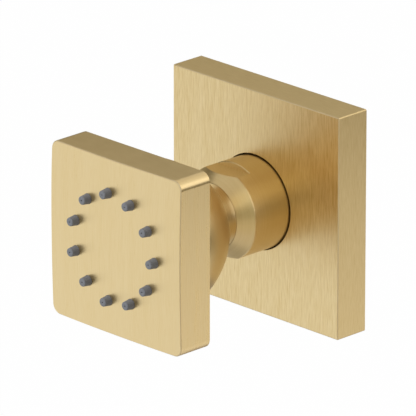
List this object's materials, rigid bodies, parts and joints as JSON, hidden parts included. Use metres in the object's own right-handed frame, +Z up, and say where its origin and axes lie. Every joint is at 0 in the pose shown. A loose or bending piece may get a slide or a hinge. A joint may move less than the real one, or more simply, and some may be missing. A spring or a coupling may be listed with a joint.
{
  "type": "shower body jet",
  "caption": "Wall-mounted shower body jet: square plate, round neck with wrench flats, ball joint and square head with soft nozzles.",
  "frame": {"origin": "centre of the supply inlet's mouth, in the plane of the wall", "axes": "+Y into the wall along the inlet, -Y out towards the spray face, +Z up, +X to the right seen from the front"},
  "size_m": [0.0762, 0.0791, 0.0762],
  "materials": {
    "brushed_brass": "brushed pale gold PVD on brass, fine vertical grain",
    "turned_brass": "satin turned pale gold PVD on brass",
    "raw_brass": "plain machined brass",
    "black_rubber": "moulded black rubber",
    "foam": "closed-cell foam strip",
    "grey_silicone": "matt grey silicone",
    "white_plastic": "moulded white acetal",
    "stainless_steel": "plain stainless steel"
  },
  "bodies": {
    "fitting": {"inlet_body": "raw_brass", "collar": "turned_brass", "collar_seal": "black_rubber", "filter_washer": "black_rubber", "filter_screen": "stainless_steel", "cone_spring": "stainless_steel"},
    "plate_ring": {"plate_o_ring": "black_rubber"},
    "wall_plate": {"wall_plate": "brushed_brass", "plate_gasket": "foam"},
    "seat_ring": {"ball_seat": "white_plastic", "seat_o_ring": "black_rubber"},
    "ball": {"ball_stem": "turned_brass", "stem_o_ring": "black_rubber", "flow_restrictor": "white_plastic", "restrictor_o_ring": "black_rubber"},
    "spray_head": {"rear_cover": "turned_brass", "cover_screws": "stainless_steel", "face_housing": "brushed_brass", "nozzle_mat": "grey_silicone", "spray_plate": "white_plastic", "chamber_seal": "black_rubber"}
  },
  "joints": [
    {"name": "plate_slide", "type": "slide", "parent": "fitting", "child": "plate_ring", "axis": [0, -1, 0], "range_m": [0, 0.009]},
    {"name": "plate_turn", "type": "hinge", "parent": "plate_ring", "child": "wall_plate", "pos_m": [0, -0.0072, 0], "axis": [0, -1, 0], "continuous": true},
    {"name": "socket_turn", "type": "hinge", "parent": "fitting", "child": "seat_ring", "pos_m": [0, -0.02729, 0], "axis": [0, -1, 0], "continuous": true},
    {"name": "head_tilt", "type": "hinge", "parent": "seat_ring", "child": "ball", "pos_m": [0, -0.02729, 0], "axis": [1, 0, 0], "range_deg": [-15, 15]},
    {"name": "head_turn", "type": "hinge", "parent": "ball", "child": "spray_head", "pos_m": [0, -0.02729, 0], "axis": [0, -1, 0], "continuous": true}
  ]
}
